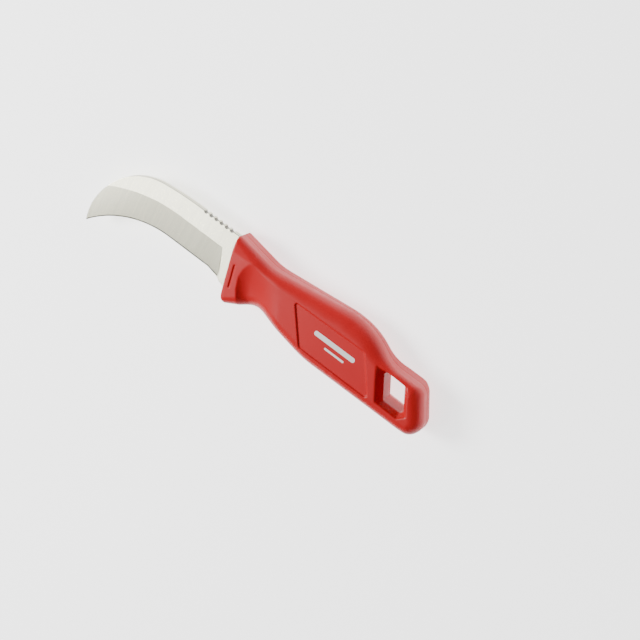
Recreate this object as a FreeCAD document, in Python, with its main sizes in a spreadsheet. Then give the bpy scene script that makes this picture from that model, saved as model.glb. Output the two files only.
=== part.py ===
"""Hook knife: a fixed blade with a hooked edge, and a moulded handle around its tang.

The knife lies on its side. +X runs from the tip to the butt, +Y to the spine, +Z up through the
thickness. The origin is on the handle's lower side face, on the flat between the finger scoop and
the label panel. Each piece is drawn about its own mid-plane, with X counted from the handle's
front, and is put in place as a whole. All lengths are millimetres.
"""

import FreeCAD, Part
import math
import os

import Sketcher
from FreeCAD import Placement, Rotation, Vector

SIZES = [
    # overall
    ("handle_thickness", 20.0, "handle, across its two flat sides"),
    ("blade_thickness", 3.5, "steel, across its two flat sides"),
    ("moulding_gap", 0.02, "play between the steel and the plastic, each side"),
    ("origin_x", 40.0, "from the outline's zero to the frame's origin"),
    # blade outline
    ("tip_x", -82.5, "point of the hook"),
    ("tip_y", -27.6, "point of the hook"),
    ("nose_x", -79.9, "where the grind line meets the spine"),
    ("nose_y", -4.0, "where the grind line meets the spine"),
    ("nose_radius", 33.0, "front end of the blade, below the grind line"),
    ("crown_x", -52.0, "where the spine's curve flattens"),
    ("crown_y", 16.6, "where the spine's curve flattens"),
    ("crown_radius", 34.2, "spine over the hook"),
    ("spine_start_x", -28.0, "where the straight spine starts"),
    ("spine_y", 18.0, "straight spine"),
    ("spine_radius", 206.0, "gentle curve before the straight spine"),
    ("edge_y", -6.7, "straight part of the cutting edge"),
    ("hook_start_x", -36.7, "where the edge's hook starts"),
    ("hook_radius", 60.0, "cutting edge in the hook"),
    ("heel_x", -11.0, "where the edge ends and the heel slopes away"),
    # thumb notches
    ("notch_radius", 1.1, "thumb notches in the spine"),
    ("notch_rise", 0.2, "centres of the notches above the spine"),
    ("notch_first_x", -25.2, "notch nearest the tip"),
    ("notch_pitch", 3.4, "from one notch to the next"),
    ("notch_count", 6, "number of notches"),
    # grind
    ("edge_land", 0.06, "thickness of the cutting edge"),
    ("small_bevel_width", 0.8, "small bevel at the edge"),
    ("small_bevel_thickness", 0.5, "steel where the small bevel starts"),
    ("grind_y", 7.5, "straight part of the grind line"),
    ("grind_start_x", -36.5, "where the grind line starts to curve"),
    ("grind_radius", 90.0, "grind line over the hook"),
    ("plunge_top_x", -8.3, "top of the plunge line"),
    ("plunge_slant", 0.416, "plunge line, X for each unit of Y"),
    ("plunge_drop", 7.0, "fall of the plunge line below the heel"),
    ("plunge_width", 2.2, "width of the plunge's slope"),
    ("plunge_bevel_step", 0.3, "plunge line's shift over the small bevel"),
    ("waste_front", 5.5, "ground-away region beyond the tip"),
    ("waste_low", 17.4, "ground-away region below the tip"),
    ("straight_grind_end", 6.0, "straight end of the grind line, before the plunge"),
    # tang
    ("shoulder_top_x", 5.0, "tang's upper shoulder"),
    ("shoulder_low_x", 10.5, "tang's lower shoulder"),
    ("shoulder_low_y", -11.8, "tang's lower shoulder"),
    ("tang_top", 12.0, "tang's upper edge"),
    ("tang_low", -3.0, "tang's lower edge"),
    ("tang_wall", 8.6, "plastic between the tang's end and the lanyard hole"),
    ("tang_radius", 3.0, "corners at the tang's end"),
    ("key_diameter", 7.0, "holes in the tang that the plastic fills"),
    ("key_first_x", 24.0, "first of these holes"),
    ("key_margin", 16.0, "from the last of these holes to the tang's end"),
    # handle outline
    ("front_top_x", -2.4, "handle's front, top corner"),
    ("front_top_y", 20.3, "handle's front, top corner"),
    ("front_low_x", 6.6, "handle's front, guard corner"),
    ("front_low_y", -15.3, "handle's front, guard corner"),
    ("saddle_x", 22.0, "dip for the thumb's side, on the back"),
    ("saddle_y", 16.0, "dip for the thumb's side, on the back"),
    ("saddle_radius", 30.0, "dip for the thumb's side, on the back"),
    ("swell_x", 78.0, "palm swell on the back"),
    ("swell_y", 23.2, "palm swell on the back"),
    ("swell_radius", 40.0, "palm swell on the back"),
    ("waist_x", 98.0, "where the swell runs out"),
    ("waist_radius", 22.0, "where the swell runs out"),
    ("butt_top_x", 118.3, "butt, upper corner"),
    ("butt_top_y", 12.3, "butt, upper corner"),
    ("butt_end_x", 128.9, "butt, outermost corner"),
    ("butt_end_y", -5.2, "butt, outermost corner"),
    ("butt_low_x", 124.6, "butt, lower corner"),
    ("butt_low_y", -12.6, "butt, lower corner"),
    ("butt_radius", 6.4, "butt, upper and lower corner"),
    ("butt_end_radius", 7.4, "butt, outermost corner"),
    ("belly_x", 58.0, "belly, behind the finger groove"),
    ("belly_y", -13.4, "belly, behind the finger groove"),
    ("belly_radius", 60.0, "belly, behind the finger groove"),
    ("groove_x", 24.0, "finger groove"),
    ("groove_y", -6.8, "finger groove"),
    ("groove_radius", 14.0, "finger groove"),
    ("handle_round", 6.0, "rounding of the back, the butt and the belly"),
    ("front_round", 1.2, "rounding of the handle's front"),
    # finger scoops
    ("scoop_x", 21.0, "centre of the scoop"),
    ("scoop_y", 4.5, "centre of the scoop"),
    ("scoop_length", 24.0, "scoop, along X at the side face"),
    ("scoop_height", 36.0, "scoop, along Y at the side face"),
    ("scoop_depth", 2.3, "deepest point of the scoop"),
    ("scoop_bowl", 12.0, "half height of the bowl that leaves the scoop"),
    # label panels
    ("panel_top", 11.8, "label panel, upper edge"),
    ("panel_low", -8.0, "label panel, lower edge"),
    ("panel_front_x", 41.0, "label panel, upper front corner"),
    ("panel_back_x", 84.4, "label panel, upper back corner"),
    ("panel_slant", 0.71, "ends of the panel, X for each unit of Y"),
    ("panel_depth", 0.7, "label panel, depth"),
    ("panel_radius", 1.5, "label panel, corners"),
    # sheath grooves
    ("catch_x", 6.0, "middle of the groove that the sheath's catch clips into"),
    ("catch_y", 1.4, "middle of the groove that the sheath's catch clips into"),
    ("catch_length", 12.0, "groove for the sheath's catch"),
    ("catch_width", 1.1, "groove for the sheath's catch"),
    ("catch_depth", 0.6, "groove for the sheath's catch"),
    ("catch_radius", 0.5, "groove for the sheath's catch, corners"),
    # lanyard hole
    ("throat_top", 8.4, "lanyard hole, upper wall"),
    ("throat_low", -5.2, "lanyard hole, lower wall"),
    ("throat_front_x", 96.6, "lanyard hole, upper front corner"),
    ("throat_back_x", 109.2, "lanyard hole, upper back corner"),
    ("throat_slant", 0.55, "ends of the lanyard hole, X for each unit of Y"),
    ("throat_radius", 1.6, "lanyard hole, corners"),
    ("funnel_front", 3.7, "slope before the hole, at the front"),
    ("funnel_back", 2.0, "slope before the hole, at the back"),
    ("funnel_top", 1.8, "slope before the hole, at the top"),
    ("funnel_low", 1.4, "slope before the hole, at the bottom"),
    ("funnel_depth", 5.0, "depth of the slope"),
]


class Size:
    """A length with its value and the spreadsheet expression that gives it."""

    def __init__(self, value, text):
        self.value = value
        self.text = text

    @staticmethod
    def of(number):
        return number if isinstance(number, Size) else Size(number, repr(number))

    def __add__(self, other):
        other = Size.of(other)
        return Size(self.value + other.value, f"({self.text} + {other.text})")

    def __sub__(self, other):
        other = Size.of(other)
        return Size(self.value - other.value, f"({self.text} - {other.text})")

    def __mul__(self, other):
        other = Size.of(other)
        return Size(self.value * other.value, f"{self.text} * {other.text}")

    def __truediv__(self, other):
        other = Size.of(other)
        return Size(self.value / other.value, f"{self.text} / ({other.text})")

    def __neg__(self):
        return Size(-self.value, f"(-1 * {self.text})")

    def root(self):
        return Size(math.sqrt(self.value), f"sqrt({self.text})")

    def at_most(self, other):
        return Size(min(self.value, other.value), f"min({self.text}; {other.text})")


class Sizes:
    """The spreadsheet's cells as attributes."""

    def __init__(self, document):
        sheet = document.addObject("Spreadsheet::Sheet", "Sizes")
        for row, (name, value, meaning) in enumerate(SIZES, start=1):
            sheet.set(f"A{row}", meaning)
            sheet.set(f"B{row}", str(value))
            sheet.setAlias(f"B{row}", name)
            setattr(self, name, Size(value, f"Sizes.{name}"))
        document.recompute()


def bind(thing, name, size):
    """Set a property, or a sketch's constraint, to a size's expression."""
    thing.setExpression(name, size.text)


def make_body(name):
    """A body in its place: its mid-plane at half the handle's thickness."""
    body = document.addObject("PartDesign::Body", name)
    body.Label = name
    half = sizes.handle_thickness / 2
    body.Placement = Placement(Vector(-sizes.origin_x.value, 0, half.value), Rotation())
    bind(body, "Placement.Base.x", -sizes.origin_x)
    bind(body, "Placement.Base.z", half)
    return body


def origin_plane(body, role):
    return next(item for item in body.Origin.OriginFeatures if item.Role == role)


def make_sketch(body, name, height=None):
    """A sketch on the body's XY plane, or at a height above it."""
    sketch = body.newObject("Sketcher::SketchObject", name)
    sketch.AttachmentSupport = [(origin_plane(body, "XY_Plane"), "")]
    sketch.MapMode = "FlatFace"
    if height is not None:
        sketch.AttachmentOffset = Placement(Vector(0, 0, height.value), Rotation())
        bind(sketch, "AttachmentOffset.Base.z", height)
    return sketch


def hold_point(sketch, geometry, position, name, corner):
    """Tie a point of the sketch to a pair of sizes."""
    for axis, size in zip("XY", corner):
        rule = Sketcher.Constraint(f"Distance{axis}", -1, 1, geometry, position, size.value)
        index = sketch.addConstraint(rule)
        sketch.renameConstraint(index, f"{name}_{axis.lower()}")
        bind(sketch, f"Constraints.{name}_{axis.lower()}", size)


def hold_radius(sketch, geometry, name, radius):
    index = sketch.addConstraint(Sketcher.Constraint("Radius", geometry, radius.value))
    sketch.renameConstraint(index, f"{name}_radius")
    bind(sketch, f"Constraints.{name}_radius", radius)


def arc_between(start, stop, radius, turn):
    """The shorter arc from start to stop. turn is 1 where it bends left and -1 where right."""
    chord = stop - start
    left = Vector(-chord.y, chord.x, 0).normalize()
    rise = math.sqrt(max(radius**2 - (chord.Length / 2) ** 2, 0.0))
    centre = start + chord * 0.5 + left * (turn * rise)
    first, last = (start, stop) if turn > 0 else (stop, start)
    angles = [math.atan2(point.y - centre.y, point.x - centre.x) for point in (first, last)]
    return Part.ArcOfCircle(Part.Circle(centre, Vector(0, 0, 1), radius), *angles)


def arc_reach(points, i, radius):
    """How far a rounded corner's arc reaches along its two sides."""
    before = (points[i] - points[i - 1]).normalize()
    after = (points[(i + 1) % len(points)] - points[i]).normalize()
    return radius.value * math.tan(before.getAngle(after) / 2)


def fit_rounds(names, points, rounds):
    """The rounded corners' radii, smaller where a side is too short for the arcs at its ends."""
    fitted = dict(rounds)
    for i in range(len(names)):
        after = (i + 1) % len(names)
        ends = [j for j in (i, after) if names[j] in rounds]
        needed = sum(arc_reach(points, j, rounds[names[j]]) for j in ends)
        room = (points[after] - points[i]).Length * SIDE_IN_ARCS
        if needed > room:
            for j in ends:
                smaller = rounds[names[j]] * (room / needed)
                fitted[names[j]] = fitted[names[j]].at_most(smaller)
    return fitted


def draw_outline(sketch, corners, bends=None, rounds=None):
    """Draw a closed outline, and give back the radii that its rounded corners got.

    corners is a list of (name, x, y). bends gives a curved side's radius and turn by the name
    of the corner that it starts from. rounds gives the radius of a rounded corner by its name.
    """
    bends = bends or {}
    count = len(corners)
    names = [name for name, _, _ in corners]
    points = [Vector(x.value, y.value, 0) for _, x, y in corners]
    rounds = fit_rounds(names, points, rounds or {})

    def setback(i):
        return arc_reach(points, i, rounds[names[i]]) if names[i] in rounds else 0.0

    sides = []
    for i, name in enumerate(names):
        start, stop = points[i], points[(i + 1) % count]
        if name in bends:
            radius, turn = bends[name]
            side = sketch.addGeometry(arc_between(start, stop, radius.value, turn), False)
            hold_radius(sketch, side, f"{name}_side", radius)
            sides.append((side, 1, 2) if turn > 0 else (side, 2, 1))
        else:
            way = (stop - start).normalize()
            start = start + way * setback(i)
            stop = stop - way * setback((i + 1) % count)
            side = sketch.addGeometry(Part.LineSegment(start, stop), False)
            sides.append((side, 1, 2))

    for i, name in enumerate(names):
        before, _, before_end = sides[i - 1]
        after, after_start, _ = sides[i]
        corner = corners[i][1:]
        if name not in rounds:
            joined = Sketcher.Constraint("Coincident", before, before_end, after, after_start)
            sketch.addConstraint(joined)
            hold_point(sketch, after, after_start, name, corner)
            continue
        radius = rounds[name]
        reach = setback(i)
        towards = (points[i] - points[i - 1]).normalize()
        away = (points[(i + 1) % count] - points[i]).normalize()
        turn = 1 if towards.cross(away).z > 0 else -1
        ends = (points[i] - towards * reach, points[i] + away * reach)
        arc = sketch.addGeometry(arc_between(*ends, radius.value, turn), False)
        arc_start, arc_end = (1, 2) if turn > 0 else (2, 1)
        point = sketch.addGeometry(Part.Point(points[i]), True)
        rules = [
            Sketcher.Constraint("Tangent", before, before_end, arc, arc_start),
            Sketcher.Constraint("Tangent", arc, arc_end, after, after_start),
            Sketcher.Constraint("PointOnObject", point, 1, before),
            Sketcher.Constraint("PointOnObject", point, 1, after),
        ]
        for rule in rules:
            sketch.addConstraint(rule)
        hold_radius(sketch, arc, name, radius)
        hold_point(sketch, point, 1, name, corner)
    return rounds


def draw_circle(sketch, name, x, y, radius):
    circle = Part.Circle(Vector(x.value, y.value, 0), Vector(0, 0, 1), radius.value)
    geometry = sketch.addGeometry(circle, False)
    hold_radius(sketch, geometry, name, radius)
    hold_point(sketch, geometry, 3, name, (x, y))


def pad(body, name, sketch, length):
    """Extrude a sketch to both sides of its plane."""
    feature = body.newObject("PartDesign::Pad", name)
    feature.Profile = sketch
    feature.SideType = "Symmetric"
    bind(feature, "Length", length)
    document.recompute()
    return feature


def pocket(body, name, sketch, depth, both_sides=False):
    """Cut a sketch downwards from its plane, or to both sides of it."""
    before = body.Shape.Volume
    feature = body.newObject("PartDesign::Pocket", name)
    feature.Profile = sketch
    if both_sides:
        feature.SideType = "Symmetric"
    bind(feature, "Length", depth)
    document.recompute()
    assert body.Shape.Volume < before, f"{name} cut nothing"
    return feature


def loft_cut(body, name, sketches):
    """Cut the straight-sided solid that joins sketches at different heights."""
    before = body.Shape.Volume
    feature = body.newObject("PartDesign::SubtractiveLoft", name)
    feature.Profile = sketches[0]
    feature.Sections = sketches[1:]
    feature.Ruled = True
    document.recompute()
    assert body.Shape.Volume < before, f"{name} cut nothing"
    return feature


def mirror_to_other_side(body, name, features):
    """Repeat features on the other side of the body's XY plane."""
    before = body.Shape.Volume
    mirrored = body.newObject("PartDesign::Mirrored", name)
    mirrored.Originals = features
    mirrored.MirrorPlane = (origin_plane(body, "XY_Plane"), [""])
    body.Tip = mirrored
    document.recompute()
    assert body.Shape.Volume < before, f"{name} cut nothing"
    return mirrored


def repeat_along_x(body, name, feature, pitch, count):
    pattern = body.newObject("PartDesign::LinearPattern", name)
    pattern.Originals = [feature]
    pattern.Direction = (origin_plane(body, "X_Axis"), [""])
    bind(pattern, "Length", pitch * (count - 1))
    bind(pattern, "Occurrences", count)
    body.Tip = pattern
    document.recompute()
    return pattern


def round_edges(body, name, test, radius):
    """Fillet the edges of the body's last feature that a test picks."""
    base = body.Tip
    picked = [f"Edge{i}" for i, edge in enumerate(base.Shape.Edges, start=1) if test(edge)]
    assert picked, f"{name} found no edge"
    fillet = body.newObject("PartDesign::Fillet", name)
    fillet.Base = (base, picked)
    bind(fillet, "Radius", radius)
    document.recompute()
    return fillet


def along_hook(radius, centre_x, centre_y, end_x):
    """Y on a circle's upper half at end_x."""
    reach = end_x - centre_x
    return centre_y + (radius * radius - reach * reach).root()


def grind_section(body, name, height, edge_line, hook_start, radius, heel, plunge):
    """One level of the ground-away side: everything outside a line along the edge."""
    far_x = sizes.tip_x - sizes.waste_front
    far_y = sizes.tip_y - sizes.waste_low
    plunge_x, plunge_y = plunge
    hook_end = along_hook(radius, hook_start, edge_line - radius, far_x)
    corners = [
        ("plunge", plunge_x, plunge_y),
        ("heel", *heel),
        ("hook", hook_start, edge_line),
        ("beyond_tip", far_x, hook_end),
        ("far_front", far_x, far_y),
        ("far_back", plunge_x + sizes.plunge_slant * (plunge_y - far_y), far_y),
    ]
    sketch = make_sketch(body, name, height)
    draw_outline(sketch, corners, bends={"hook": (radius, 1)})
    return sketch


def heel_slope():
    """Fall of the heel's line for each unit of X."""
    fall = sizes.edge_y - sizes.shoulder_low_y
    return fall / (sizes.shoulder_low_x - sizes.heel_x)


def tang_end():
    """X of the tang's end, short of the lanyard hole."""
    return sizes.throat_front_x - sizes.tang_wall


def key_pitch():
    """From one of the tang's holes to the next."""
    return (tang_end() - sizes.key_margin - sizes.key_first_x) / (KEY_COUNT - 1)


def make_blade():
    """Flat steel with the hooked edge in front and the tang behind."""
    body = make_body("blade")
    corners = [
        ("tip", sizes.tip_x, sizes.tip_y),
        ("nose", sizes.nose_x, sizes.nose_y),
        ("crown", sizes.crown_x, sizes.crown_y),
        ("spine", sizes.spine_start_x, sizes.spine_y),
        ("shoulder_top", sizes.shoulder_top_x, sizes.spine_y),
        ("tang_top", sizes.shoulder_top_x, sizes.tang_top),
        ("tang_end_top", tang_end(), sizes.tang_top),
        ("tang_end_low", tang_end(), sizes.tang_low),
        ("tang_low", sizes.shoulder_low_x, sizes.tang_low),
        ("shoulder_low", sizes.shoulder_low_x, sizes.shoulder_low_y),
        ("heel", sizes.heel_x, sizes.edge_y),
        ("hook", sizes.hook_start_x, sizes.edge_y),
    ]
    bends = {
        "tip": (sizes.nose_radius, -1),
        "nose": (sizes.crown_radius, -1),
        "crown": (sizes.spine_radius, -1),
        "hook": (sizes.hook_radius, 1),
    }
    rounds = {"tang_end_top": sizes.tang_radius, "tang_end_low": sizes.tang_radius}
    outline = make_sketch(body, "blade_outline")
    draw_outline(outline, corners, bends, rounds)
    pad(body, "blade_blank", outline, sizes.blade_thickness)

    notch_sketch = make_sketch(body, "notch_outline")
    notch_height = sizes.spine_y + sizes.notch_rise
    draw_circle(notch_sketch, "notch", sizes.notch_first_x, notch_height, sizes.notch_radius)
    notch = pocket(body, "first_notch", notch_sketch, sizes.blade_thickness * THROUGH, True)
    repeat_along_x(body, "thumb_notches", notch, sizes.notch_pitch, sizes.notch_count)

    key_sketch = make_sketch(body, "key_outline")
    key_height = (sizes.tang_top + sizes.tang_low) / 2
    draw_circle(key_sketch, "key", sizes.key_first_x, key_height, sizes.key_diameter / 2)
    key = pocket(body, "first_key_hole", key_sketch, sizes.blade_thickness * THROUGH, True)
    repeat_along_x(body, "key_holes", key, key_pitch(), Size.of(KEY_COUNT))

    grind_both_sides(body)
    return body


def grind_both_sides(body):
    """The flat grind and the small bevel at the edge, on both sides."""
    slope = heel_slope()
    foot_y = sizes.grind_y
    plunge_foot_x = sizes.plunge_top_x - sizes.plunge_width

    def plunge_at(y, shift):
        return (plunge_foot_x + shift + sizes.plunge_slant * (foot_y - y), y)

    heel_reach = sizes.plunge_slant * sizes.plunge_drop - sizes.heel_x + sizes.plunge_top_x
    low_y = sizes.edge_y - slope * heel_reach
    small = sizes.small_bevel_width
    levels = [
        grind_section(
            body, "edge_level", sizes.edge_land / 2,
            sizes.edge_y, sizes.hook_start_x, sizes.hook_radius,
            (sizes.heel_x, sizes.edge_y), plunge_at(low_y, Size.of(0.0)),
        ),
        grind_section(
            body, "small_bevel_level", sizes.small_bevel_thickness / 2,
            sizes.edge_y + small, sizes.hook_start_x, sizes.hook_radius + small,
            (sizes.heel_x, sizes.edge_y + small), plunge_at(low_y + small, sizes.plunge_bevel_step),
        ),
        grind_section(
            body, "flat_level", sizes.blade_thickness / 2,
            sizes.grind_y, sizes.grind_start_x, sizes.grind_radius,
            (sizes.plunge_top_x - sizes.straight_grind_end, sizes.grind_y),
            plunge_at(foot_y, sizes.plunge_width),
        ),
    ]
    ground = loft_cut(body, "ground_side", levels)
    mirror_to_other_side(body, "ground_sides", [ground])


def slanted_corners(front_x, back_x, top, low, slant):
    """A four-sided outline whose ends lean the same way."""
    lean = slant * (top - low)
    return [
        ("front_top", front_x, top),
        ("back_top", back_x, top),
        ("back_low", back_x + lean, low),
        ("front_low", front_x + lean, low),
    ]


def rounded_slanted_sketch(body, name, height, corners, radius):
    sketch = make_sketch(body, name, height)
    draw_outline(sketch, corners, rounds={corner[0]: radius for corner in corners})
    return sketch


def make_handle():
    """One moulding around the tang."""
    body = make_body("handle")
    half = sizes.handle_thickness / 2
    corners = [
        ("front_top", sizes.front_top_x, sizes.front_top_y),
        ("saddle", sizes.saddle_x, sizes.saddle_y),
        ("swell", sizes.swell_x, sizes.swell_y),
        ("waist", sizes.waist_x, sizes.butt_top_y),
        ("butt_top", sizes.butt_top_x, sizes.butt_top_y),
        ("butt_end", sizes.butt_end_x, sizes.butt_end_y),
        ("butt_low", sizes.butt_low_x, sizes.butt_low_y),
        ("belly", sizes.belly_x, sizes.belly_y),
        ("groove", sizes.groove_x, sizes.groove_y),
        ("front_low", sizes.front_low_x, sizes.front_low_y),
    ]
    rounds = {
        "saddle": sizes.saddle_radius,
        "swell": sizes.swell_radius,
        "waist": sizes.waist_radius,
        "butt_top": sizes.butt_radius,
        "butt_end": sizes.butt_end_radius,
        "butt_low": sizes.butt_radius,
        "belly": sizes.belly_radius,
        "groove": sizes.groove_radius,
    }
    outline = make_sketch(body, "handle_outline")
    rounds = draw_outline(outline, corners, rounds=rounds)
    pad(body, "handle_block", outline, sizes.handle_thickness)
    rounding = sizes.handle_round.at_most(half - LEFT_BY_ROUNDING)
    for corner in ("butt_top", "butt_end", "butt_low"):
        rounding = rounding.at_most(rounds[corner] - LEFT_BY_ROUNDING)

    front_line = Part.makeLine(
        Vector(sizes.front_top_x.value, sizes.front_top_y.value, 0),
        Vector(sizes.front_low_x.value, sizes.front_low_y.value, 0),
    )

    def on_front(edge):
        middle = edge.valueAt((edge.FirstParameter + edge.LastParameter) / 2)
        flat = Part.Vertex(middle.x, middle.y, 0)
        return flat.distToShape(front_line)[0] < TOUCHING

    def on_side_rim(edge):
        lifted = all(abs(abs(v.Z) - half.value) < TOUCHING for v in edge.Vertexes)
        return lifted and not on_front(edge)

    round_edges(body, "handle_rounding", on_side_rim, rounding)
    round_edges(body, "front_rounding", on_front, sizes.front_round)

    cut_scoops_and_recesses(body, half)
    cut_tang_cavity(body)
    return body


def cut_scoops_and_recesses(body, half):
    """Scoops, label panels, sheath grooves and the lanyard hole, on both sides."""
    bowl = body.newObject("PartDesign::SubtractiveEllipsoid", "finger_scoop")
    drop = sizes.scoop_bowl - sizes.scoop_depth
    share = (Size.of(1) - drop * drop / (sizes.scoop_bowl * sizes.scoop_bowl)).root()
    bind(bowl, "Radius1", sizes.scoop_bowl)
    bind(bowl, "Radius2", sizes.scoop_length / 2 / share)
    bind(bowl, "Radius3", sizes.scoop_height / 2 / share)
    bowl.AttachmentSupport = [(origin_plane(body, "XY_Plane"), "")]
    bowl.MapMode = "FlatFace"
    bind(bowl, "AttachmentOffset.Base.x", sizes.scoop_x)
    bind(bowl, "AttachmentOffset.Base.y", sizes.scoop_y)
    bind(bowl, "AttachmentOffset.Base.z", half + drop)
    document.recompute()

    panel_corners = slanted_corners(
        sizes.panel_front_x, sizes.panel_back_x,
        sizes.panel_top, sizes.panel_low, sizes.panel_slant,
    )
    panel_sketch = rounded_slanted_sketch(
        body, "panel_outline", half, panel_corners, sizes.panel_radius
    )
    panel = pocket(body, "label_panel", panel_sketch, sizes.panel_depth)

    run = sizes.front_low_x - sizes.front_top_x
    fall = sizes.front_top_y - sizes.front_low_y
    lean = run / fall
    catch_half = sizes.catch_length / 2
    catch_sketch = rounded_slanted_sketch(
        body, "catch_outline", half,
        slanted_corners(
            sizes.catch_x - sizes.catch_width / 2 - lean * catch_half,
            sizes.catch_x + sizes.catch_width / 2 - lean * catch_half,
            sizes.catch_y + catch_half, sizes.catch_y - catch_half, lean,
        ),
        sizes.catch_radius,
    )
    catch = pocket(body, "sheath_groove", catch_sketch, sizes.catch_depth)

    throat_corners = slanted_corners(
        sizes.throat_front_x, sizes.throat_back_x,
        sizes.throat_top, sizes.throat_low, sizes.throat_slant,
    )
    widened = {
        "front_top": (-sizes.funnel_front, sizes.funnel_top),
        "back_top": (sizes.funnel_back, sizes.funnel_top),
        "back_low": (sizes.funnel_back, -sizes.funnel_low),
        "front_low": (-sizes.funnel_front, -sizes.funnel_low),
    }
    rim_corners = [
        (name, x + widened[name][0], y + widened[name][1]) for name, x, y in throat_corners
    ]
    rim = rounded_slanted_sketch(body, "funnel_rim", half, rim_corners, sizes.throat_radius)
    neck = rounded_slanted_sketch(
        body, "funnel_neck", half - sizes.funnel_depth, throat_corners, sizes.throat_radius
    )
    funnel = loft_cut(body, "lanyard_funnel", [rim, neck])
    mirror_to_other_side(body, "other_side", [bowl, panel, catch, funnel])
    throat = rounded_slanted_sketch(
        body, "throat_outline", None, throat_corners, sizes.throat_radius
    )
    pocket(body, "lanyard_hole", throat, sizes.handle_thickness * THROUGH, both_sides=True)


def cut_tang_cavity(body):
    """The space that the steel fills, with the pegs that fill the tang's holes left standing."""
    gap = sizes.moulding_gap
    low_gap = gap * SLOPED_GAP
    in_front = sizes.heel_x
    corners = [
        ("mouth_top", in_front, sizes.spine_y + gap),
        ("shoulder_top", sizes.shoulder_top_x + gap, sizes.spine_y + gap),
        ("tang_top", sizes.shoulder_top_x + gap, sizes.tang_top + gap),
        ("tang_end_top", tang_end() + gap, sizes.tang_top + gap),
        ("tang_end_low", tang_end() + gap, sizes.tang_low - gap),
        ("tang_low", sizes.shoulder_low_x + gap, sizes.tang_low - gap),
        ("shoulder_low", sizes.shoulder_low_x + gap, sizes.shoulder_low_y - low_gap),
        ("mouth_low", in_front, sizes.edge_y - low_gap),
    ]
    rounds = {
        "tang_end_top": sizes.tang_radius + gap,
        "tang_end_low": sizes.tang_radius + gap,
    }
    cavity = make_sketch(body, "tang_cavity_outline")
    draw_outline(cavity, corners, rounds=rounds)
    peg_y = (sizes.tang_top + sizes.tang_low) / 2
    for i in range(KEY_COUNT):
        peg_x = sizes.key_first_x + key_pitch() * i
        draw_circle(cavity, f"peg_{i + 1}", peg_x, peg_y, sizes.key_diameter / 2 - gap)
    pocket(body, "tang_cavity", cavity, sizes.blade_thickness + gap * 2, both_sides=True)


def check_and_write(pieces):
    """Refuse a failed feature or a bad solid, then write a file for each piece."""
    for item in document.Objects:
        failed = {"Invalid", "Error"} & set(item.State)
        assert not failed, f"{item.Label}: {item.State}"
    os.makedirs("parts", exist_ok=True)
    for piece in pieces:
        shape = piece.Shape
        assert not shape.isNull() and shape.isValid(), piece.Label
        assert len(shape.Solids) == 1, f"{piece.Label} has {len(shape.Solids)} solids"
        shape.exportStep(f"parts/{piece.Label}.step")
        box = shape.optimalBoundingBox()
        print(
            f"{piece.Label}: {shape.Volume / 1000:.2f} cm3, "
            f"{box.XMin:.2f}..{box.XMax:.2f}, {box.YMin:.2f}..{box.YMax:.2f}, "
            f"{box.ZMin:.2f}..{box.ZMax:.2f} mm"
        )


KEY_COUNT = 3
SLOPED_GAP = 1.3  # the heel slopes, so its gap is measured a little longer along Y
THROUGH = 2  # a cut right through is this many times as long as the piece is thick
TOUCHING = 0.001
SIDE_IN_ARCS = 0.98  # the share of a side that the arcs at its two ends may take
LEFT_BY_ROUNDING = 0.35  # what the rounding leaves of a corner's radius or of the side's height

document = FreeCAD.newDocument("hook_knife")
sizes = Sizes(document)
check_and_write([make_blade(), make_handle()])
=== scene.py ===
"""Hook knife lying on its side: a hooked steel blade in a moulded red handle.

Lengths are worked out in millimetres on the maker's own axes: X from the handle's front towards
the butt, Y towards the spine, Z up through the thickness from the handle's mid-plane. in_place
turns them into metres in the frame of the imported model.
"""

import math

import bmesh
import bpy
import numpy as np
from mathutils import Matrix, Vector


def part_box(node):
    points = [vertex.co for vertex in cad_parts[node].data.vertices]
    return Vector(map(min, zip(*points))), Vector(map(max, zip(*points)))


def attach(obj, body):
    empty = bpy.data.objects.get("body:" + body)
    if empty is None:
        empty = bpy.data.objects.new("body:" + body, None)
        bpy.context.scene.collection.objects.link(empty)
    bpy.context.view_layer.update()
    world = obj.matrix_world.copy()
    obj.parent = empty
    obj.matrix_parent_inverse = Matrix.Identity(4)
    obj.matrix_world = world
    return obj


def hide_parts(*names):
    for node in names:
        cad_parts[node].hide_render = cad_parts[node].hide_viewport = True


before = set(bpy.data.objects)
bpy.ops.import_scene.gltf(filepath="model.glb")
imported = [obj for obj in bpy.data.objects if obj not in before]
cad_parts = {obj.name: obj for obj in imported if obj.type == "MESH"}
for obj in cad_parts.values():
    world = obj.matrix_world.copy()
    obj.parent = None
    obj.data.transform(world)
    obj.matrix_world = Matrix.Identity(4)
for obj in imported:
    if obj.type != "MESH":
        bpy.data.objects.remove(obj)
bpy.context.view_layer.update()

MM = 0.001
HANDLE_LOW, HANDLE_HIGH = (np.array(corner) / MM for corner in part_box("handle"))
MID_PLANE = (HANDLE_LOW[2] + HANDLE_HIGH[2]) / 2
HALF = (HANDLE_HIGH[2] - HANDLE_LOW[2]) / 2
ORIGIN_X = 40.0


def in_place(points):
    """Millimetres on the maker's axes, as metres in the frame."""
    points = np.asarray(points, dtype=float)
    return (points + np.array([-ORIGIN_X, 0.0, MID_PLANE])) * MM


def inside_cad_handle(places):
    """The same places, moved by a few micrometres where they stand out of the handle's box."""
    low, high = (np.array(corner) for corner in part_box("handle"))
    return np.clip(places, low, high)


def to_maker_axes(place):
    """A place in the frame, as millimetres on the maker's axes."""
    return place.x / MM + ORIGIN_X, place.y / MM, place.z / MM - MID_PLANE


# ------------------------------------------------------------------------------------------
# outlines
# ------------------------------------------------------------------------------------------

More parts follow.
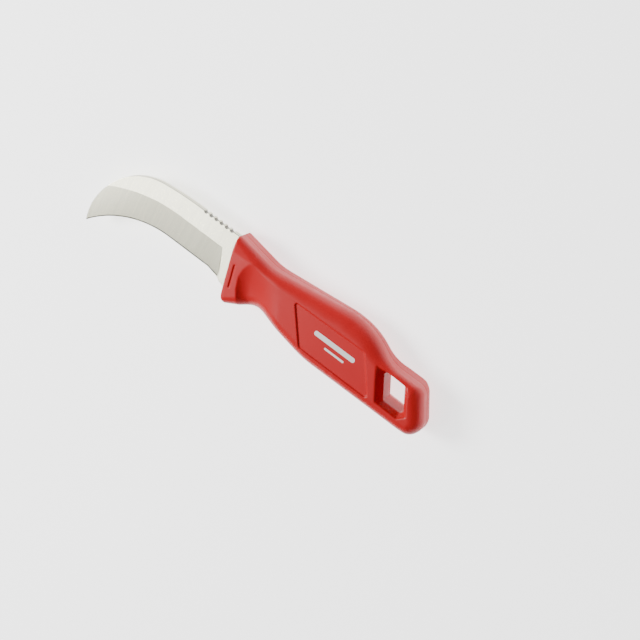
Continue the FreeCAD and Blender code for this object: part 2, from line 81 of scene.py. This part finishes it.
# corner x, corner y, corner radius
HANDLE_OUTLINE = [
    (-12.0, 22.0, 1.0),
    (22.0, 16.0, 30.0),
    (78.0, 23.2, 40.0),
    (98.0, 12.3, 22.0),
    (118.3, 12.3, 6.4),
    (128.9, -5.2, 7.4),
    (124.6, -12.6, 6.4),
    (58.0, -13.4, 60.0),
    (24.0, -6.8, 14.0),
    (-12.0, -24.4, 2.0),
]
FRONT_TOP = (-2.4, 20.3)
FRONT_LOW = (6.6, -15.3)
LABEL_PANEL = [(40.6, 11.3, 1.2), (84.3, 12.0, 1.6), (98.6, -8.0, 1.6), (54.6, -8.0, 2.0)]
HOLE_RIM = [
    (92.1, 10.9, 0.8), (111.5, 10.2, 0.9), (119.0, -3.3, 1.0), (115.2, -6.8, 1.2), (101.8, -6.6, 1.4)
]
HOLE_THROAT = [
    (96.6, 8.4, 1.6), (109.2, 8.4, 1.0), (115.8, -3.6, 1.0), (114.2, -5.2, 1.0), (104.1, -5.2, 1.4)
]
FUNNEL_DEPTH = 5.0
CATCH_GROOVE = [(4.1, 7.4, 0.4), (4.9, 7.4, 0.4), (7.9, -4.6, 0.4), (7.1, -4.6, 0.4)]


def rounded_outline(corners, arc_step=0.1):
    """Points round a closed outline whose corners are rounded by their own radii."""
    places = [Vector(corner[:2]) for corner in corners]
    points = []
    for i, (place, corner) in enumerate(zip(places, corners)):
        before = (place - places[i - 1]).normalized()
        after = (places[(i + 1) % len(places)] - place).normalized()
        turn = before.angle_signed(after)
        reach = corner[2] * math.tan(abs(turn) / 2)
        side = -1 if turn > 0 else 1
        start = place - before * reach
        centre = start + Vector((-before.y, before.x)) * side * corner[2]
        steps = max(2, int(abs(turn) / arc_step))
        for step in range(steps + 1):
            angle = -turn * step / steps
            spoke = start - centre
            points.append((
                centre.x + spoke.x * math.cos(angle) - spoke.y * math.sin(angle),
                centre.y + spoke.x * math.sin(angle) + spoke.y * math.cos(angle),
            ))
    return np.array(points)


def distance_to(outline, x, y):
    """Signed distance to a closed outline, negative inside, and where on it the nearest is."""
    starts, stops = outline, np.roll(outline, -1, axis=0)
    nearest = np.full(x.shape, np.inf)
    where_x = np.zeros(x.shape)
    where_y = np.zeros(x.shape)
    inside = np.zeros(x.shape, dtype=bool)
    for (ax, ay), (bx, by) in zip(starts, stops):
        run_x, run_y = bx - ax, by - ay
        length = run_x * run_x + run_y * run_y
        if length < 1e-12:
            continue
        share = np.clip(((x - ax) * run_x + (y - ay) * run_y) / length, 0, 1)
        foot_x, foot_y = ax + share * run_x, ay + share * run_y
        far = np.hypot(x - foot_x, y - foot_y)
        closer = far < nearest
        nearest = np.where(closer, far, nearest)
        where_x = np.where(closer, foot_x, where_x)
        where_y = np.where(closer, foot_y, where_y)
        if ay != by:
            crosses = ((ay > y) != (by > y)) & (x < (bx - ax) * (y - ay) / (by - ay) + ax)
            inside ^= crosses
    return np.where(inside, -nearest, nearest), where_x, where_y


def ease(value, low, high):
    """0 below low, 1 above high, and a smooth rise between."""
    share = np.clip((value - low) / (high - low), 0, 1)
    return share * share * (3 - 2 * share)


def soft_max(a, b, blend):
    """The larger of two distances, with the edge where they meet rounded."""
    near = np.clip(blend - np.abs(a - b), 0, None) / blend
    return np.maximum(a, b) + near * near * blend * 0.25


# ------------------------------------------------------------------------------------------
# handle
# ------------------------------------------------------------------------------------------

GRID = 0.31
GRID_MARGIN = 1.2
GRID_SHIFT = (0.013, 0.017, 0.011)  # keeps grid points off the mid-plane and the straight walls
MOST_TRIANGLES = 192000

# dish for the finger: y, x of its sharp front crease, x of its soft rear crest
DISH_LINES = np.array([
    (-16.0, 19.0, 44.0),
    (-9.4, 15.0, 42.0),
    (-2.9, 11.2, 39.0),
    (3.0, 9.2, 36.5),
    (7.9, 9.4, 34.0),
    (12.0, 10.8, 31.0),
    (15.5, 14.0, 27.0),
    (17.0, 16.5, 24.0),
])
DISH_DEPTH = 3.3
DISH_FLOOR = 0.27  # share of the dish's width at which it is deepest
PARTING_DEPTH = 0.16
PARTING_WIDTH = 0.3
RIDGE_Y = 13.2
RIDGE_SLOPE = 0.32
RIDGE_BLEND = 0.35
RIDGE_FADE = (8.0, 48.0)
PANEL_DEPTH = 0.75
PANEL_RIM = (-0.15, 0.55)
CATCH_DEPTH = 0.6
CATCH_RIM = (-0.25, 0.3)
HOLE_BLEND = 0.7

# x along the handle, rounding there
BACK_ROUNDING = (
    (-2, 8, 22, 45, 72, 92, 104, 118),
    (3.0, 3.8, 5.2, 7.5, 9.0, 7.5, 4.2, 4.2),
)
BELLY_ROUNDING = ((6, 14, 24, 58, 118, 125), (3.2, 5.0, 7.0, 6.5, 5.5, 6.5))
BUTT_ROUNDING = 7.2


def edge_rounding(x, y):
    """How much the side face is rounded towards the outline's point x, y."""
    rounding = np.where(y > 2, np.interp(x, *BACK_ROUNDING), np.interp(x, *BELLY_ROUNDING))
    butt = ease(x + (y + 5) * 0.45, 121.0, 127.0)
    return rounding + (BUTT_ROUNDING - rounding) * butt


def ahead_of_front(x, y):
    """How far a point lies in front of the handle's slanted front face."""
    (top_x, top_y), (low_x, low_y) = FRONT_TOP, FRONT_LOW
    run, fall = low_x - top_x, top_y - low_y
    return ((top_x - x) * fall + (top_y - y) * run) / math.hypot(run, fall)


def finger_dish(x, y):
    """Depth of the dish that the first finger lies in."""
    crease = np.interp(y, DISH_LINES[:, 0], DISH_LINES[:, 1])
    crest = np.interp(y, DISH_LINES[:, 0], DISH_LINES[:, 2])
    across = np.clip((x - crease) / (crest - crease), 0, 1)
    near_wall = 1 - (1 - across / DISH_FLOOR) ** 2
    far_slope = 0.5 + 0.5 * np.cos(math.pi * (across - DISH_FLOOR) / (1 - DISH_FLOOR))
    profile = np.where(across < DISH_FLOOR, near_wall, far_slope)
    return DISH_DEPTH * profile * ease(16.5 - y, 0.0, 24.0) ** 0.8


def smoothed(values, passes):
    """A grid of values averaged with its neighbours, a number of times."""
    for _ in range(passes):
        for axis in (0, 1):
            padded = np.pad(values, [(1, 1) if a == axis else (0, 0) for a in (0, 1)], mode="edge")
            values = (
                np.take(padded, range(0, values.shape[axis]), axis)
                + 2 * values
                + np.take(padded, range(2, values.shape[axis] + 2), axis)
            ) / 4
    return values


def face_height(x, y):
    """Height of the side face above the mid-plane."""
    height = HALF - smoothed(finger_dish(x, y), 1)
    panel = distance_to(rounded_outline(LABEL_PANEL), x, y)[0]
    height -= PANEL_DEPTH * ease(-panel, *PANEL_RIM)
    groove = distance_to(rounded_outline(CATCH_GROOVE), x, y)[0]
    height -= CATCH_DEPTH * ease(-groove, *CATCH_RIM)
    above_ridge = np.logaddexp(0, (y - RIDGE_Y) / RIDGE_BLEND) * RIDGE_BLEND
    return height - RIDGE_SLOPE * above_ridge * (1 - ease(x, *RIDGE_FADE))


def handle_field():
    """Signed distance to the handle's skin on a grid, and the grid's axes."""
    spans = ((-3.6, 128.2), (-15.0, 22.0), (-HALF, HALF))
    xs, ys, zs = (
        np.arange(low - GRID_MARGIN, high + GRID_MARGIN, GRID) + shift
        for (low, high), shift in zip(spans, GRID_SHIFT)
    )
    x, y = np.meshgrid(xs, ys, indexing="ij")
    outline, where_x, where_y = distance_to(rounded_outline(HANDLE_OUTLINE, 0.04), x, y)
    rounding = smoothed(edge_rounding(where_x, where_y), 6)
    rim = distance_to(rounded_outline(HOLE_RIM), x, y)[0]
    throat = distance_to(rounded_outline(HOLE_THROAT), x, y)[0]
    height = face_height(x, y)

    level = np.abs(zs)[None, None, :]
    out = (outline + rounding)[:, :, None]
    over = level - (height - rounding)[:, :, None]
    radius = rounding[:, :, None]
    body = (
        np.minimum(np.maximum(out, over), 0)
        + np.hypot(np.maximum(out, 0), np.maximum(over, 0))
        - radius
    )
    opening = np.clip((level - (HALF - FUNNEL_DEPTH)) / FUNNEL_DEPTH, 0, 1.2)
    hole = throat[:, :, None] * (1 - opening) + rim[:, :, None] * opening
    body = body + PARTING_DEPTH * np.exp(-(level / PARTING_WIDTH) ** 2)
    front = ahead_of_front(x, y)[:, :, None]
    blend = (1.1 + 2.6 * ease(-y, 9.5, 14.5))[:, :, None]
    body = soft_max(body, front, blend)
    return soft_max(body, -hole * 0.9, HOLE_BLEND), (xs, ys, zs)


def skin_over(field, axes):
    """A closed mesh of small quads where the field changes sign."""
    corners = [(i, j, k) for i in (0, 1) for j in (0, 1) for k in (0, 1)]
    nx, ny, nz = (n - 1 for n in field.shape)

    def corner_values(i, j, k):
        return field[i:i + nx, j:j + ny, k:k + nz]

    total = np.zeros((nx, ny, nz, 3))
    count = np.zeros((nx, ny, nz))
    for first in corners:
        for axis in range(3):
            if first[axis]:
                continue
            second = tuple(v + (a == axis) for a, v in enumerate(first))
            here, there = corner_values(*first), corner_values(*second)
            crossed = (here < 0) != (there < 0)
            share = np.where(crossed, here / np.where(crossed, here - there, 1), 0)
            for a in range(3):
                total[..., a] += crossed * (first[a] + (share if a == axis else 0))
            count += crossed
    active = count > 0
    number = np.full(count.shape, -1)
    number[active] = np.arange(active.sum())
    cells = np.argwhere(active)
    places = cells + total[active] / count[active][:, None]
    start = np.array([axis[0] for axis in axes])
    points = start + places * GRID

    quads = []
    for axis in range(3):
        b, c = (axis + 1) % 3, (axis + 2) % 3
        low = [slice(1, -1)] * 3
        low[axis] = slice(0, -1)
        high = list(low)
        high[axis] = slice(1, None)
        here, there = field[tuple(low)] < 0, field[tuple(high)] < 0
        for leaving in (True, False):
            at = np.argwhere((here != there) & (here == leaving))
            at = at + np.array([0 if a == axis else 1 for a in range(3)])
            ring = []
            for back_b, back_c in ((1, 1), (0, 1), (0, 0), (1, 0)):
                cell = at.copy()
                cell[:, b] -= back_b
                cell[:, c] -= back_c
                ring.append(number[cell[:, 0], cell[:, 1], cell[:, 2]])
            ring = np.stack(ring, axis=1)
            quads.append(ring if leaving else ring[:, ::-1])
    return points, np.concatenate(quads)


def add_object(name, data):
    """A new object in the scene."""
    thing = bpy.data.objects.new(name, data)
    bpy.context.scene.collection.objects.link(thing)
    return thing


def apply_modifiers(piece):
    """Turn what a piece's modifiers make into its mesh."""
    graph = bpy.context.evaluated_depsgraph_get()
    mesh = bpy.data.meshes.new_from_object(piece.evaluated_get(graph))
    piece.modifiers.clear()
    piece.data = mesh


def add_piece(name, points, faces, material, smooth=True):
    """A mesh in its place that rides with the knife and takes a slot's finish."""
    mesh = bpy.data.meshes.new(name)
    mesh.from_pydata(points.tolist(), [], faces)
    mesh.materials.append(material)
    if smooth:
        mesh.polygons.foreach_set("use_smooth", [True] * len(mesh.polygons))
    mesh.update()
    piece = add_object(name, mesh)
    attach(piece, "root")
    return piece


def make_handle(material):
    """The moulded handle as one dense skin, thinned to its limit of triangles."""
    points, quads = skin_over(*handle_field())
    skin = inside_cad_handle(in_place(points))
    handle = add_piece("handle_moulding", skin, quads.tolist(), material)
    thin = handle.modifiers.new("thin", "DECIMATE")
    thin.ratio = min(1.0, MOST_TRIANGLES / (2 * len(quads)))
    apply_modifiers(handle)
    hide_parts("handle")


# ------------------------------------------------------------------------------------------
# blade
# ------------------------------------------------------------------------------------------

NOTCHES = (-27.0, -6.0)
NOTCH_MOUTH = 17.85
GRIND_LOW = 6.0  # a height that the whole cutting edge lies under
BROKEN_EDGE = 0.26
CLEAR_OF_MID_PLANE = 1.0
# how far each kind of face goes towards the steel's near-black: painted dark reflection on the
# broken edges and the small bevel, painted shade on the walls and in the notches
BROKEN_EDGE_PAINTED_REFLECTION, SMALL_BEVEL_PAINTED_REFLECTION, WALL_PAINTED_SHADE, NOTCH_PAINTED_SHADE = 0.75, 0.55, 0.4, 1.0
# how level a face is: the upright size of its normal
WALL_LEVEL, UPRIGHT_LEVEL, GROUND_LEVEL, FLAT_LEVEL = 0.3, 0.5, 0.7, 0.9
SMALL_BEVEL_LEVELS = (0.95, 0.975)
SAME_FLAT = math.radians(0.25)
# a bend that shows as a sharp edge, between ground faces and at a wall
GROUND_BEND, WALL_BEND = math.radians(2.5), math.radians(40)


def flat_meets_wall(edge):
    """Whether an edge lies between one of the blade's two flats and its outline."""
    if len(edge.link_faces) != 2:
        return False
    least, most = sorted(abs(face.normal.z) for face in edge.link_faces)
    off_middle = all(
        abs(vert.co.z / MM - MID_PLANE) > CLEAR_OF_MID_PLANE for vert in edge.verts)
    return least < WALL_LEVEL and most > FLAT_LEVEL and off_middle


def darken(steel, painted_shade_and_reflection):
    """Write painted dark reflection on the small bevel and painted shade in the notches and on the
    walls.
    """
    lowest, highest = SMALL_BEVEL_LEVELS
    for face in steel.faces:
        x, y, _ = to_maker_axes(face.calc_center_median())
        upright = abs(face.normal.z) < UPRIGHT_LEVEL
        if y < GRIND_LOW and lowest < abs(face.normal.z) < highest:
            face[painted_shade_and_reflection] = SMALL_BEVEL_PAINTED_REFLECTION
        elif GRIND_LOW < y < NOTCH_MOUTH and NOTCHES[0] < x < NOTCHES[1] and upright:
            face[painted_shade_and_reflection] = NOTCH_PAINTED_SHADE
        elif upright:
            face[painted_shade_and_reflection] = max(face[painted_shade_and_reflection], WALL_PAINTED_SHADE)


def keep_bends_crisp(steel):
    """Smooth faces, with sharp edges where the steel bends."""
    for edge in steel.edges:
        if len(edge.link_faces) == 2:
            one, other = edge.link_faces
            bend = one.normal.angle(other.normal, 0)
            ground = min(abs(one.normal.z), abs(other.normal.z)) > GROUND_LEVEL
            edge.smooth = bend < (GROUND_BEND if ground else WALL_BEND)
    for face in steel.faces:
        face.smooth = True


def make_blade(material):
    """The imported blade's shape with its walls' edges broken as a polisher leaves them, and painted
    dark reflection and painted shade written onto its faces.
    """
    steel = bmesh.new()
    steel.from_mesh(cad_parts["blade"].data)
    bmesh.ops.remove_doubles(steel, verts=steel.verts, dist=1e-6)
    bmesh.ops.dissolve_limit(
        steel, angle_limit=SAME_FLAT, verts=steel.verts, edges=steel.edges)
    steel.normal_update()
    # the layer of painted shade and painted dark reflection, made before the bevel, since a new
    # layer makes the bevel's faces unusable
    painted_shade_and_reflection = steel.faces.layers.float.new("painted_shade_and_reflection")
    flats = [edge for edge in steel.edges if flat_meets_wall(edge)]
    broken = bmesh.ops.bevel(
        steel, geom=flats, offset=BROKEN_EDGE * MM, segments=3, profile=0.5, affect="EDGES",
        clamp_overlap=False)
    steel.normal_update()
    # painted dark reflection on the broken edges
    for face in broken["faces"]:
        face[painted_shade_and_reflection] = BROKEN_EDGE_PAINTED_REFLECTION
    darken(steel, painted_shade_and_reflection)
    keep_bends_crisp(steel)
    mesh = bpy.data.meshes.new("blade")
    steel.to_mesh(mesh)
    steel.free()
    mesh.materials.append(material)
    blade = add_object("hooked_blade", mesh)
    level = blade.modifiers.new("level", "WEIGHTED_NORMAL")
    level.keep_sharp = True
    level.weight = 100
    apply_modifiers(blade)
    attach(blade, "root")
    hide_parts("blade")


# ------------------------------------------------------------------------------------------
# plain printed mark in the label panels
# ------------------------------------------------------------------------------------------

# name, middle x, middle y, length, width
MARKS = (("long", 70.0, 4.2, 25.0, 2.6), ("short", 72.0, 0.2, 12.0, 1.1))
MARK_STANDS_OUT = 0.05
MARK_THICKNESS = 0.15
MARK_CORNER = 0.45  # share of the mark's width


def make_marks(material):
    """Two plain bars printed in each label panel."""
    for side, sign in (("upper", 1), ("lower", -1)):
        for name, x, y, length, width in MARKS:
            bar = [
                (x + along * length / 2, y + up * width / 2, width * MARK_CORNER)
                for along, up in ((-1, 1), (1, 1), (1, -1), (-1, -1))
            ]
            ring = rounded_outline(bar, 0.3)
            top = HALF - PANEL_DEPTH + MARK_STANDS_OUT
            low = top - MARK_THICKNESS
            count = len(ring)
            points = [(px, py, sign * z) for z in (top, low) for px, py in ring]
            faces = [list(range(count))[::-1], list(range(count, 2 * count))]
            faces += [
                (i, (i + 1) % count, count + (i + 1) % count, count + i) for i in range(count)
            ]
            if sign < 0:
                faces = [list(face)[::-1] for face in faces]
            add_piece(f"{side}_{name}_mark", in_place(points), faces, material,
                      smooth=False)


# ------------------------------------------------------------------------------------------
# finishes
# ------------------------------------------------------------------------------------------

# sockets of a colour mix: its two colours and its result
FIRST, SECOND, MIXED = 6, 7, 2


def finish_named(name, colour, roughness):
    """A new material, its shader and a helper that adds linked nodes."""
    material = bpy.data.materials.new(name)
    material.use_nodes = True
    nodes = material.node_tree.nodes
    shader = nodes["Principled BSDF"]
    shader.inputs["Base Color"].default_value = (*colour, 1)
    shader.inputs["Roughness"].default_value = roughness

    def add(kind, inputs=None, **settings):
        node = nodes.new(kind)
        for key, value in settings.items():
            setattr(node, key, value)
        for key, value in (inputs or {}).items():
            socket = node.inputs[key]
            if isinstance(value, bpy.types.NodeSocket):
                material.node_tree.links.new(value, socket)
            else:
                socket.default_value = value
        return node

    def feed(value, socket):
        material.node_tree.links.new(value, shader.inputs[socket])

    return material, shader, add, feed


def red_plastic():
    """Semi-gloss plastic with a fine grain and slightly uneven gloss."""
    material, shader, add, feed = finish_named("red moulded plastic", (0.52, 0.008, 0.010), 0.38)
    shader.inputs["Specular IOR Level"].default_value = 0.3
    place = add("ShaderNodeTexCoord").outputs["Object"]
    tone = add("ShaderNodeTexNoise", {"Vector": place, "Scale": 60.0, "Detail": 3.0})
    shade = add("ShaderNodeMix", {"Factor": tone.outputs["Fac"]}, data_type="RGBA")
    shade.inputs[FIRST].default_value = (0.49, 0.007, 0.009, 1)
    shade.inputs[SECOND].default_value = (0.56, 0.010, 0.012, 1)
    feed(shade.outputs[MIXED], "Base Color")
    grain = add("ShaderNodeTexNoise", {"Vector": place, "Scale": 2600.0, "Detail": 2.0})
    handling = add("ShaderNodeTexNoise", {"Vector": place, "Scale": 140.0, "Detail": 4.0})
    gloss = add("ShaderNodeMapRange", {"Value": handling.outputs["Fac"], "From Min": 0.3,
                                       "From Max": 0.7, "To Min": 0.34, "To Max": 0.44})
    feed(gloss.outputs["Result"], "Roughness")
    bump = add("ShaderNodeBump", {"Height": grain.outputs["Fac"], "Strength": 0.08,
                                  "Distance": 0.0001})
    feed(bump.outputs["Normal"], "Normal")
    return material


def ground_steel():
    """Steel ground across the blade, with painted shade and painted dark reflection: its colour goes
    towards near-black where the blade's attribute for them says so.
    """
    material, shader, add, feed = finish_named("satin ground steel", (0.78, 0.755, 0.66), 0.36)
    shader.inputs["Metallic"].default_value = 1.0
    place = add("ShaderNodeTexCoord").outputs["Object"]
    stretched = add("ShaderNodeMapping", {"Vector": place, "Scale": (9000.0, 500.0, 500.0)})
    lines = add("ShaderNodeTexNoise", {"Vector": stretched.outputs["Vector"], "Scale": 1.0,
                                       "Detail": 3.0})
    gloss = add("ShaderNodeMapRange", {"Value": lines.outputs["Fac"], "From Min": 0.3,
                                       "From Max": 0.7, "To Min": 0.27, "To Max": 0.38})
    feed(gloss.outputs["Result"], "Roughness")
    long_strokes = add("ShaderNodeMapping", {"Vector": place, "Scale": (900.0, 28.0, 28.0)})
    strokes = add("ShaderNodeTexNoise", {"Vector": long_strokes.outputs["Vector"], "Scale": 1.0,
                                         "Detail": 2.0, "Roughness": 0.5})
    tint = add("ShaderNodeMix", {"Factor": strokes.outputs["Fac"]}, data_type="RGBA")
    tint.inputs[FIRST].default_value = (0.66, 0.645, 0.50, 1)
    tint.inputs[SECOND].default_value = (0.85, 0.83, 0.65, 1)
    # how much painted shade and painted dark reflection each face of the blade carries
    painted_shade_amount = add("ShaderNodeAttribute", attribute_name="painted_shade_and_reflection")
    steel_with_painted_shade = add("ShaderNodeMix", {"Factor": painted_shade_amount.outputs["Fac"], FIRST: tint.outputs[MIXED]},
                data_type="RGBA")
    # near-black colour of the painted shade and painted dark reflection
    steel_with_painted_shade.inputs[SECOND].default_value = (0.10, 0.098, 0.085, 1)
    feed(steel_with_painted_shade.outputs[MIXED], "Base Color")
    bump = add("ShaderNodeBump", {"Height": lines.outputs["Fac"], "Strength": 0.05,
                                  "Distance": 0.00005})
    feed(bump.outputs["Normal"], "Normal")
    return material


def mark_paint():
    """White print, a little worn."""
    material, _, add, feed = finish_named("white printed mark", (0.85, 0.84, 0.82), 0.5)
    place = add("ShaderNodeTexCoord").outputs["Object"]
    worn = add("ShaderNodeTexNoise", {"Vector": place, "Scale": 900.0, "Detail": 4.0})
    tone = add("ShaderNodeMapRange", {"Value": worn.outputs["Fac"], "From Min": 0.35,
                                      "From Max": 0.65, "To Min": 0.42, "To Max": 0.58})
    feed(tone.outputs["Result"], "Roughness")
    return material


# ------------------------------------------------------------------------------------------
# floor, light and camera
# ------------------------------------------------------------------------------------------

HEADING, TILT, ROLL = 61.99, 27.0, 27.77
LENS = 85.5
AIM = (0.01443, 0.00693, 0.010)
VIEW_DISTANCE = 0.760


def view_axes():
    """Right, up and towards-the-viewer directions of the camera."""
    heading, tilt, roll = (math.radians(v) for v in (HEADING, TILT, ROLL))
    out = Vector((math.sin(tilt) * math.cos(heading), math.sin(tilt) * math.sin(heading),
                  math.cos(tilt)))
    away = Vector((math.cos(tilt) * math.cos(heading), math.cos(tilt) * math.sin(heading),
                   -math.sin(tilt)))
    side = out.cross(away)
    right = away * math.cos(roll) - side * math.sin(roll)
    up = away * math.sin(roll) + side * math.cos(roll)
    return right, up, out


def facing(place, right, up, out):
    """A matrix that puts an object at a place with the given axes."""
    matrix = Matrix.Identity(4)
    for column, axis in enumerate((right, up, out)):
        for row in range(3):
            matrix[row][column] = axis[row]
    matrix.translation = place
    return matrix


def make_camera():
    camera = bpy.data.cameras.new("camera")
    camera.sensor_width = 36.0
    camera.lens = LENS
    holder = add_object("camera", camera)
    right, up, out = view_axes()
    holder.matrix_world = facing(Vector(AIM) + out * VIEW_DISTANCE, right, up, out)
    bpy.context.scene.camera = holder


def add_area_light(name, place, target, width, power):
    light = bpy.data.lights.new(name, "AREA")
    light.shape = "DISK"
    light.size = width
    light.energy = power
    holder = add_object(name, light)
    place, target = Vector(place), Vector(target)
    turn = (place - target).to_track_quat("Z", "Y").to_matrix().to_4x4()
    holder.matrix_world = Matrix.Translation(place) @ turn


def make_studio():
    """A pale floor that glows a little, a soft sky and two disk lights."""
    mesh = bpy.data.meshes.new("floor")
    mesh.from_pydata([(-3, -3, 0), (3, -3, 0), (3, 3, 0), (-3, 3, 0)], [], [(0, 1, 2, 3)])
    floor = add_object("floor", mesh)
    material, shader, _, _ = finish_named("pale floor", (0.93, 0.93, 0.93), 0.85)
    shader.inputs["Emission Color"].default_value = (1, 1, 1, 1)
    shader.inputs["Emission Strength"].default_value = 2.1
    mesh.materials.append(material)
    world = bpy.data.worlds.new("soft room")
    bpy.context.scene.world = world
    world.use_nodes = True
    sky = world.node_tree.nodes["Background"]
    sky.inputs["Color"].default_value = (1.0, 1.0, 1.0, 1)
    sky.inputs["Strength"].default_value = 0.26
    add_area_light("key", (-0.85, -0.15, 0.75), (0, 0, 0), 0.45, 19.0)
    add_area_light("over_blade", (-0.50, -0.42, 1.05), (-0.08, 0, 0), 0.40, 3.5)


def build():
    make_camera()
    make_studio()
    make_handle(red_plastic())
    make_blade(ground_steel())
    make_marks(mark_paint())


build()
